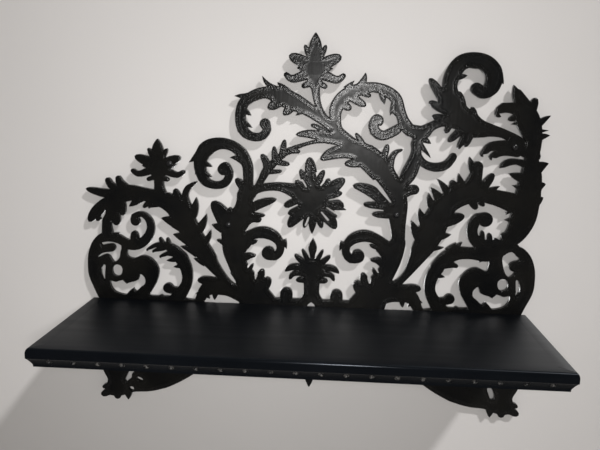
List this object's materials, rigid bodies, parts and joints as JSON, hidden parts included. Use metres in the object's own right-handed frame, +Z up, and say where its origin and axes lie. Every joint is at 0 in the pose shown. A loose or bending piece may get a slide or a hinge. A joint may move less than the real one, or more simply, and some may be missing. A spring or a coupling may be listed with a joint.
{
  "type": "wall shelf",
  "caption": "Wall shelf with a flat board, moulded edges and a tall fret-cut scrollwork back panel that stands just off the wall and hangs below the board.",
  "frame": {"origin": "on the wall plane, at the height of the board's top and at the middle of its width", "axes": "+X to the right seen from the front, +Y into the wall, +Z up"},
  "size_m": [0.616, 0.2428, 0.5155],
  "materials": {
    "panel_wood": "black semi-gloss paint over grained board",
    "board_wood": "black satin paint, smooth",
    "black_steel": "black, semi-gloss",
    "zinc_steel": "zinc plated",
    "spacer_plastic": "matte"
  },
  "bodies": {
    "root": {"back_panel": "panel_wood", "shelf_board": "board_wood", "front_moulding": "board_wood", "left_moulding": "board_wood", "right_moulding": "board_wood", "wall_screw_1": "black_steel", "wall_screw_2": "black_steel", "wall_screw_3": "black_steel", "wall_screw_4": "black_steel", "wall_screw_5": "black_steel", "wall_screw_6": "black_steel", "wall_screw_7": "black_steel", "wall_screw_8": "black_steel", "wall_spacer_1": "spacer_plastic", "wall_spacer_2": "spacer_plastic", "wall_spacer_3": "spacer_plastic", "wall_spacer_4": "spacer_plastic", "wall_spacer_5": "spacer_plastic", "wall_spacer_6": "spacer_plastic", "wall_spacer_7": "spacer_plastic", "wall_spacer_8": "spacer_plastic", "rear_screw_1": "zinc_steel", "rear_screw_2": "zinc_steel", "rear_screw_3": "zinc_steel", "left_brace": "black_steel", "right_brace": "black_steel", "brace_screw_1": "zinc_steel", "brace_screw_2": "zinc_steel", "brace_screw_3": "zinc_steel", "brace_screw_4": "zinc_steel"}
  },
  "joints": []
}
